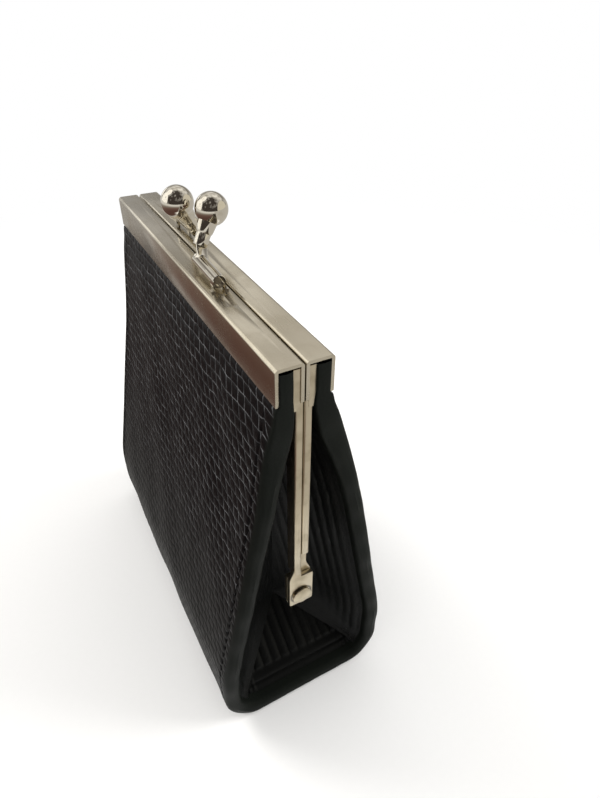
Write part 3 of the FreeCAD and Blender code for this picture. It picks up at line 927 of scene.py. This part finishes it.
class Tree:
    """Node tree of one finish or of the world."""

    def __init__(self, node_tree):
        self.nodes = node_tree.nodes
        self.links = node_tree.links
        self.nodes.clear()

    def node(self, kind, settings, inputs):
        """A shader node of a kind, its settings set first, then the values or links of its sockets."""
        made = self.nodes.new("ShaderNode" + kind)
        for key, value in settings.items():
            if key == "stops":
                for _ in value[2:]:
                    made.color_ramp.elements.new(0.5)
                for element, (place, colour) in zip(made.color_ramp.elements, value):
                    element.position = place
                    element.color = (*colour, 1)
            else:
                setattr(made, key, value)
        for key, value in inputs.items():
            socket = value.socket if isinstance(value, Level) else value
            if isinstance(socket, bpy.types.NodeSocket):
                self.links.new(socket, made.inputs[key])
            else:
                made.inputs[key].default_value = socket
        return made

    def level(self, kind, settings, inputs, output=0):
        """One output of a new node, as a number."""
        return Level(self, self.node(kind, settings, inputs).outputs[output])

    def noise(self, where, scale, detail):
        inputs = {"Vector": where, "Scale": scale, "Detail": detail, "Roughness": 0.55}
        return self.level("TexNoise", {}, inputs)

    def bands(self, where, direction, scale, distortion=0.0):
        inputs = {"Vector": where, "Scale": scale, "Distortion": distortion}
        return self.level("TexWave", {"bands_direction": direction}, inputs)

    def stretched(self, where, scale):
        """The same coordinates at another scale along each axis."""
        return self.node("Mapping", {}, {"Vector": where, "Scale": scale}).outputs[0]

    def part(self, vector, axis):
        """One of a vector's three parts."""
        return self.level("SeparateXYZ", {}, {0: vector}, axis)

    def measured(self, operation, first, second=(0, 0, 0)):
        """A number from vectors, such as their DISTANCE."""
        return self.level("VectorMath", {"operation": operation}, {0: first, 1: second}, 1)

    def between(self, value, low, high):
        """0 to 1 as a value rises from low to high, smoothly."""
        inputs = {"Value": value, "From Min": low, "From Max": high}
        return self.level("MapRange", {"interpolation_type": "SMOOTHSTEP"}, inputs)

    def worked(self, operation, *values):
        """Result of a Math operation, such as FRACT or MAXIMUM."""
        return self.level("Math", {"operation": operation}, dict(enumerate(values)))

    def mixed(self, share, first, second, blend="MIX"):
        """Colour mixed from two colours."""
        inputs = {0: share}
        for key, value in ((6, first), (7, second)):
            inputs[key] = value if isinstance(value, bpy.types.NodeSocket) else (*value, 1.0)
        return self.node("Mix", {"data_type": "RGBA", "blend_type": blend}, inputs).outputs[2]

    def ramp(self, value, stops):
        """Colour of a value, between stops of a place and a colour."""
        return self.node("ValToRGB", {"stops": stops}, {0: value}).outputs[0]


def finish(look):
    """Material whose surface a look makes from its tree, object coordinates and UV map."""
    material = bpy.data.materials.new(look.__name__)
    material.use_nodes = True
    tree = Tree(material.node_tree)
    where = tree.node("TexCoord", {}, {})
    skin = look(tree, where.outputs["Object"], where.outputs["UV"])
    tree.node("OutputMaterial", {}, {"Surface": skin})
    return material


def surface(tree, colour, roughness, height, distance, strength, **constants):
    """Principled surface with a bump. Constants go on their sockets."""
    bump = tree.node("Bump", {}, {"Height": height, "Distance": distance, "Strength": strength})
    inputs = {"Base Color": colour, "Roughness": roughness, "Normal": bump.outputs[0]}
    inputs.update({key.replace("_", " "): value for key, value in constants.items()})
    return tree.node("BsdfPrincipled", {}, inputs).outputs[0]


def rail_nickel(tree, where, uv):
    """Bright nickel plate with soft waves in the sheet, faint smudges and fine rubbing marks along it."""
    smudge = tree.between(tree.noise(where, 170.0, 3.0), 0.4, 0.7)
    rubbed = tree.noise(tree.stretched(where, (50, 2400, 2400)), 1.0, 2.0)
    colour = tree.mixed(smudge, (0.64, 0.585, 0.47), (0.57, 0.515, 0.405))
    roughness = 0.17 + 0.08 * smudge + 0.07 * rubbed
    height = tree.noise(where, 60.0, 1.0) + 0.02 * rubbed
    return surface(tree, colour, roughness, height, 0.00025, 0.5, Metallic=1.0)


def arm_nickel(tree, where, uv):
    """Satin champagne nickel with drawing lines along the arms and a painted shadow ring round the rivet
    heads.
    """
    drawn = tree.noise(tree.stretched(where, (2600, 2600, 40)), 1.0, 2.0)
    dull = tree.between(tree.noise(where, 420.0, 3.0), 0.4, 0.7)
    colour = tree.mixed(dull, (0.64, 0.565, 0.42), (0.54, 0.47, 0.335))
    flat = tree.stretched(where, (0, 1, 1))
    axis = (0, HINGE.y * MM, HINGE.z * MM)
    spoke = tree.measured("DISTANCE", flat, axis) * (1 / MM)
    # Painted shadow: a dark ring on the tab round each rivet head stands in for the shade under the head's
    # rim, not grime.
    ring = tree.between(spoke, RIVET_HEAD_R - 0.02, RIVET_HEAD_R + 0.08)
    painted_rivet_shadow = ring * (1 - tree.between(spoke, 1.9, 2.3))
    colour = tree.mixed(painted_rivet_shadow * 0.9, colour, (0.05, 0.04, 0.028))
    roughness = 0.26 + 0.1 * dull + 0.08 * drawn
    return surface(tree, colour, roughness, drawn + dull, 0.00003, 0.5, Metallic=1.0)


def polished_nickel(tree, where, uv):
    """Mirror nickel of the kiss lock, with faint handling marks."""
    marks = tree.between(tree.noise(where, 700.0, 5.0), 0.5, 0.75)
    colour = tree.mixed(marks, (0.72, 0.675, 0.58), (0.62, 0.57, 0.47))
    roughness = 0.04 + 0.07 * marks
    height = tree.noise(where, 420.0, 1.0)
    return surface(tree, colour, roughness, height, 0.00006, 0.5, Metallic=1.0)


def embossed_leather(tree, where, uv):
    """Black leather embossed with staggered rows of small scales, which end at smooth rolled edges."""
    sideways = tree.part(uv, 0) * UV_WIDTH - UV_WIDTH / 2
    down = tree.part(uv, 1) * UV_LENGTH
    drift = tree.noise(where, 120.0, 2.0)
    jitter = tree.noise(where, 520.0, 2.0)
    row = down * (1 / SCALE_ROW) + drift * 1.1 + jitter * 0.3
    part = tree.worked("FRACT", row)
    lean = part * 0.35
    column = sideways * (1 / SCALE_LENGTH) + (row - part) * 0.5 - lean + drift * 0.9 + jitter * 0.35
    row_edge = (0.5 - tree.worked("ABSOLUTE", part - 0.5)) * SCALE_ROW
    side_edge = (0.5 - tree.worked("ABSOLUTE", tree.worked("FRACT", column) - 0.5)) * SCALE_LENGTH
    edge = tree.worked("SMOOTH_MIN", row_edge, side_edge, 0.3)
    panel = 1 - tree.between(tree.worked("ABSOLUTE", sideways), *NET_END)
    line = (1 - tree.between(edge, -0.02, 0.13)) * panel
    dome = tree.between(edge, -0.05, 0.6) * panel
    grain = tree.noise(where, 2600.0, 3.0)
    patch = tree.noise(where, 75.0, 2.0)
    # Painted highlight: the net lines get a light colour that stands in for glints on the scales' raised
    # edges. Noise makes some lines lighter, partly as real wear.
    worn_and_glinting = line * tree.between(tree.noise(where, 420.0, 3.0), 0.42, 0.62)
    # Painted sheen: the base colour is lighter towards the bottom of the wall, and the painted line
    # highlights fainter there. This stands in for the grazing reflection low on the wall.
    low = tree.between(down, 26.0, 72.0)
    base = tree.mixed(patch, (0.003, 0.0024, 0.0027), (0.0054, 0.0046, 0.0049))
    base = tree.mixed(low, base, (0.0078, 0.0086, 0.0084))
    netted = tree.mixed((0.3 * line + 0.7 * worn_and_glinting) * (1 - 0.65 * low), base, (0.142, 0.143, 0.148))
    rolled = tree.mixed(grain, (0.0045, 0.0056, 0.0045), (0.0095, 0.0114, 0.0093))
    colour = tree.mixed(panel, rolled, netted)
    roughness = 0.46 - 0.12 * dome + 0.1 * grain
    height = dome * 0.8 + grain * 0.12
    return surface(tree, colour, roughness, height, 0.00016, 0.9, Specular_IOR_Level=0.07)


def gusset_leather(tree, where, uv):
    """Very dark matt leather of the folded ends."""
    grain = tree.noise(where, 1900.0, 4.0)
    patch = tree.noise(where, 160.0, 2.0)
    colour = tree.mixed(patch, (0.0018, 0.0021, 0.002), (0.0048, 0.0055, 0.0051))
    roughness = 0.34 + 0.18 * grain
    return surface(tree, colour, roughness, grain, 0.0001, 0.6, Specular_IOR_Level=0.16)


def lining_cloth(tree, where, uv):
    """Plain woven black lining."""
    weave = tree.bands(where, "X", 700.0) * tree.bands(where, "Z", 700.0)
    patch = tree.noise(where, 200.0, 2.0)
    colour = tree.mixed(0.5 * weave + 0.4 * patch, (0.012, 0.012, 0.013), (0.035, 0.034, 0.036))
    return surface(tree, colour, 0.75 + 0.1 * weave, weave, 0.00008, 0.7, Sheen_Weight=0.15)


def stitch_thread(tree, where, uv):
    """Waxed black thread with its twist."""
    twist = tree.bands(where, "DIAGONAL", 500.0, 0.5)
    colour = tree.mixed(twist, (0.0012, 0.0012, 0.0014), (0.004, 0.004, 0.0045))
    return surface(tree, colour, 0.6 + 0.15 * twist, twist, 0.00005, 0.8, Specular_IOR_Level=0.08)


def pale_floor(tree, where, uv):
    """White paper, plain white to the camera further off."""
    fibre = tree.noise(where, 900.0, 2.0)
    colour = tree.mixed(fibre, (0.93, 0.93, 0.93), (0.95, 0.95, 0.95))
    paper = surface(tree, colour, 0.9 + 0.05 * fibre, fibre, 0.00002, 0.2, Specular_IOR_Level=0.1)
    white = tree.node("Emission", {}, {"Color": (1, 1, 1, 1), "Strength": 1.0}).outputs[0]
    seen = tree.level("LightPath", {}, {}, "Is Camera Ray")
    far = seen * tree.between(tree.measured("LENGTH", where), 0.1, 0.3)
    return tree.node("MixShader", {}, {0: far, 1: paper, 2: white}).outputs[0]


# Camera of the photographed view, in millimetres from the hinge plane, and its directions
CAMERA_PLACE = Vector((88.091, -28.775, 121.683))
CAMERA_RIGHT = Vector((0.4783, 0.8781, 0.0087))
CAMERA_DOWN = Vector((0.533, -0.2825, -0.7976))
PIXELS_HIGH = 798
FOCAL_PIXELS = 560.0

# Stage, in metres. The flag's browns go from the purse outwards
LAMP_SIZE = 0.4
LAMP_AIM = Vector((0, 0, 0.045))
FLOOR_SIZE = 4.0
FLAG_SIZE = 3.9
FLAG_Z = 0.0006
FLAG_BROWNS = (
    (0.0, (0.11, 0.06, 0.05)),
    (0.2, (0.11, 0.06, 0.05)),
    (0.37, (0.17, 0.108, 0.09)),
    (0.58, (0.31, 0.28, 0.25)),
    (1.0, (0.8, 0.79, 0.77)),
)


def camera():
    """Camera at the photograph's place and angle."""
    data = bpy.data.cameras.new("photo_camera")
    data.sensor_width = 36.0
    data.lens = data.sensor_width * FOCAL_PIXELS / PIXELS_HIGH
    data.clip_start = 0.005
    obj = placed("photo_camera", data)
    right = CAMERA_RIGHT.normalized()
    back = right.cross(-CAMERA_DOWN).normalized()
    turn = Matrix((right, back.cross(right), back)).transposed().to_4x4()
    obj.matrix_world = Matrix.Translation((CAMERA_PLACE + HINGE_PLANE) * MM) @ turn
    bpy.context.scene.camera = obj


def softbox(name, place, power, colour):
    """Square lamp aimed at the middle of the purse. Its place is in metres."""
    data = bpy.data.lights.new(name, "AREA")
    data.shape = "SQUARE"
    data.size = LAMP_SIZE
    data.energy = power
    data.color = colour
    obj = placed(name, data)
    obj.matrix_world = facing(Vector(place), Vector(place) - LAMP_AIM)
    obj.visible_glossy = False


def stage_grid(name, look, size):
    """Level square of the studio, a piece of the stage and not of the purse."""
    bm = bmesh.new()
    bmesh.ops.create_grid(bm, x_segments=2, y_segments=2, size=size)
    obj = mesh_object(bm, name, finish(look))
    return obj


def brown_flag(tree, where, uv):
    """Sheet that the metal mirrors: brown before the front wall, pale elsewhere, open round one end."""
    across = tree.part(where, 1)
    beside = 1 - tree.between(across, -0.042, -0.024)
    before = 1 - tree.between(across, -0.022, -0.0185)
    before = before * (1 - tree.between(tree.part(where, 0), 0.02, 0.036))
    from_end = tree.between(tree.measured("DISTANCE", where, (0.022, 0, 0)), 0.036, 0.06)
    brown = tree.ramp(tree.measured("LENGTH", where) * 2.0, FLAG_BROWNS)
    shade = tree.mixed(beside, (0.58, 0.56, 0.53), brown)
    alpha = tree.worked("MAXIMUM", from_end, before)
    inputs = {"Base Color": (0, 0, 0, 1), "Roughness": 1.0, "Specular IOR Level": 0.0,
              "Emission Color": shade, "Emission Strength": 1.0, "Alpha": alpha}
    return tree.node("BsdfPrincipled", {}, inputs).outputs[0]


# What the metal mirrors: the room's tones by height, and the directions of a dark side, a pale wall and
# window panes with their sizes
ROOM_TONES = (
    (0.0, (0.5, 0.49, 0.48)),
    (0.26, (0.42, 0.41, 0.40)),
    (0.38, (0.30, 0.29, 0.28)),
    (0.52, (0.72, 0.71, 0.70)),
    (0.75, (0.85, 0.84, 0.83)),
    (1.0, (0.95, 0.94, 0.93)),
)
DARK_SIDE = (0.75, -0.34, 0.56)
IVORY_SIDE = (0.478, 0.878, 0.009)
WINDOW_PANES = (
    ((-0.495, -0.838, 0.229), 0.14),
    ((-0.375, -0.47, 0.797), 0.05),
    ((-0.975, -0.17, 0.145), 0.015),
)


def surroundings():
    """White to the camera, and soft white light. The metal mirrors an uneven room with a window."""
    world = bpy.data.worlds.new("studio")
    world.use_nodes = True
    bpy.context.scene.world = world
    tree = Tree(world.node_tree)
    direction = tree.node("TexCoord", {}, {}).outputs["Generated"]

    def towards(aim):
        return tree.measured("DOT_PRODUCT", direction, aim)

    def backdrop(colour, strength):
        return tree.node("Background", {}, {"Color": colour, "Strength": strength}).outputs[0]

    def either(share, first, second):
        return tree.node("MixShader", {}, {0: share, 1: first, 2: second}).outputs[0]

    uneven = tree.between(tree.noise(direction, 2.4, 1.0), 0.36, 0.66)
    patches = tree.mixed(uneven, (0.62, 0.6, 0.57), (1.2, 1.2, 1.19))
    room = tree.mixed(1.0, tree.ramp(tree.part(direction, 2), ROOM_TONES), patches, "MULTIPLY")
    gloom = tree.between(towards(DARK_SIDE), 0.25, 0.6)
    shapes = 0.55 + 0.43 * tree.between(tree.noise(direction, 3.0, 1.0), 0.34, 0.5)
    room = tree.mixed(gloom * shapes, room, (0.045, 0.036, 0.032))
    room = tree.mixed(tree.between(towards(IVORY_SIDE), 0.74, 0.8), room, (0.74, 0.70, 0.60))
    window = 0.0
    for aim, size in WINDOW_PANES:
        window = tree.between(towards(aim), 1 - size, 1 - 0.75 * size) + window
    bars = tree.between(tree.worked("ABSOLUTE", tree.noise(direction, 5.0, 1.0) - 0.5), 0.006, 0.02)
    room = tree.mixed(window * bars, room, (1.4, 1.38, 1.34))
    rays = tree.node("LightPath", {}, {}).outputs
    seen = Level(tree, rays["Is Camera Ray"]) + Level(tree, rays["Is Transmission Ray"])
    light = either(rays["Is Glossy Ray"], backdrop((1.0, 0.99, 0.97, 1), 0.8), backdrop(room, 1.0))
    sky = either(seen, light, backdrop((1, 1, 1, 1), 1.0))
    tree.node("OutputWorld", {}, {"Surface": sky})


def studio():
    """Surroundings, a pale floor, a flag that only reflections show, and two soft lamps."""
    surroundings()
    stage_grid("floor", pale_floor, FLOOR_SIZE)
    flag = stage_grid("flag", brown_flag, FLAG_SIZE)
    flag.matrix_world = Matrix.Translation((0, 0, FLAG_Z))
    flag.visible_camera = False
    flag.visible_diffuse = False
    flag.visible_shadow = False
    softbox("key_softbox", (-0.56, -0.35, 0.46), 4.0, (1.0, 0.98, 0.95))
    softbox("rim_softbox", (0.3, 0.68, 0.55), 4.2, (1.0, 0.99, 0.97))


def half_piece(bm, half, title, material):
    """Piece of one half. The back half's is turned half a turn first."""
    if half == "back":
        half_turn(bm)
    return piece(bm, f"{half}_{title}", material)


def dress_halves(finishes):
    """Frame and lock of each half ride on it; its leather, stitches and lining stay where they are made."""
    rigid = (
        (rail_shell, "rail_shell", "rail_nickel", "nickel_sheet", "rail"),
        (hinge_arms, "hinge_arms", "arm_nickel", "nickel_arm", "hinge_frame"),
        (lock_post, "rolled_post", "polished_nickel", "polished_nickel", "lock_post"),
        (lock_ball, "kiss_ball", "polished_nickel", "polished_nickel", "lock_ball"),
    )
    soft = (
        (leather_wrap, "leather", "embossed_leather", "embossed_leather", ("panel", "board")),
        (stitches, "stitches", "stitch_thread", "embossed_leather", ()),
        (lining, "cloth", "lining_cloth", "lining_cloth", ("lining",)),
    )
    for name, body in HALVES:
        for build, title, look, slot, node in rigid:
            obj = half_piece(build(), name, title, finishes[look])
            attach(obj, body)
            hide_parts(f"{name}_{node}")
        for build, title, look, slot, nodes in soft:
            obj = half_piece(build(WALLS[name]), name, title, finishes[look])
            bend(obj)
            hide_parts(*[f"{name}_{node}" for node in nodes])
        dress_ends(name, finishes["gusset_leather"])


def bend(obj):
    """Bakes the leather's place into its mesh."""
    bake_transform(obj)


def dress_ends(name, leather):
    """Folded side and hidden web of both ends of one half."""
    turned = name == "back"
    for end, side in ENDS:
        for build, title in ((gusset_side, "fold"), (gusset_web, "web")):
            bm = build(WALLS[name])
            if (side == -1) != turned:
                mirrored_x(bm)
            obj = half_piece(bm, name, f"{end}_{title}", leather)
            if title == "fold":
                bend(obj)
                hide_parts(f"{name}_{end}_gusset_wing")
            else:
                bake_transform(obj)


def dress_base(finishes):
    """Pieces that stay with the base: bottom flaps and hinge rivets."""
    rigid = (
        (gusset_flap, mirrored_x, "flap", "gusset_leather", "gusset_leather", "gusset"),
        (hinge_rivet, half_turn, "hinge_pin", "arm_nickel", "nickel_arm", "rivet"),
    )
    for end, side in ENDS:
        for build, turn_over, title, look, slot, node in rigid:
            bm = build()
            if side == -1:
                turn_over(bm)
            obj = piece(bm, f"{end}_{title}", finishes[look])
            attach(obj, "pouch")
            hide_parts(f"{end}_{node}")
    for name, nodes in (("front_leather", ("base_wrap", "base_board")), ("front_cloth", ("base_lining",))):
        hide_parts(*nodes)


METALS = (rail_nickel, arm_nickel, polished_nickel)
SOFT_LOOKS = (embossed_leather, gusset_leather, lining_cloth, stitch_thread)
FINISHES = {look.__name__: finish(look) for look in METALS + SOFT_LOOKS}
bpy.context.scene.view_settings.view_transform = "Standard"
camera()
studio()
dress_halves(FINISHES)
dress_base(FINISHES)
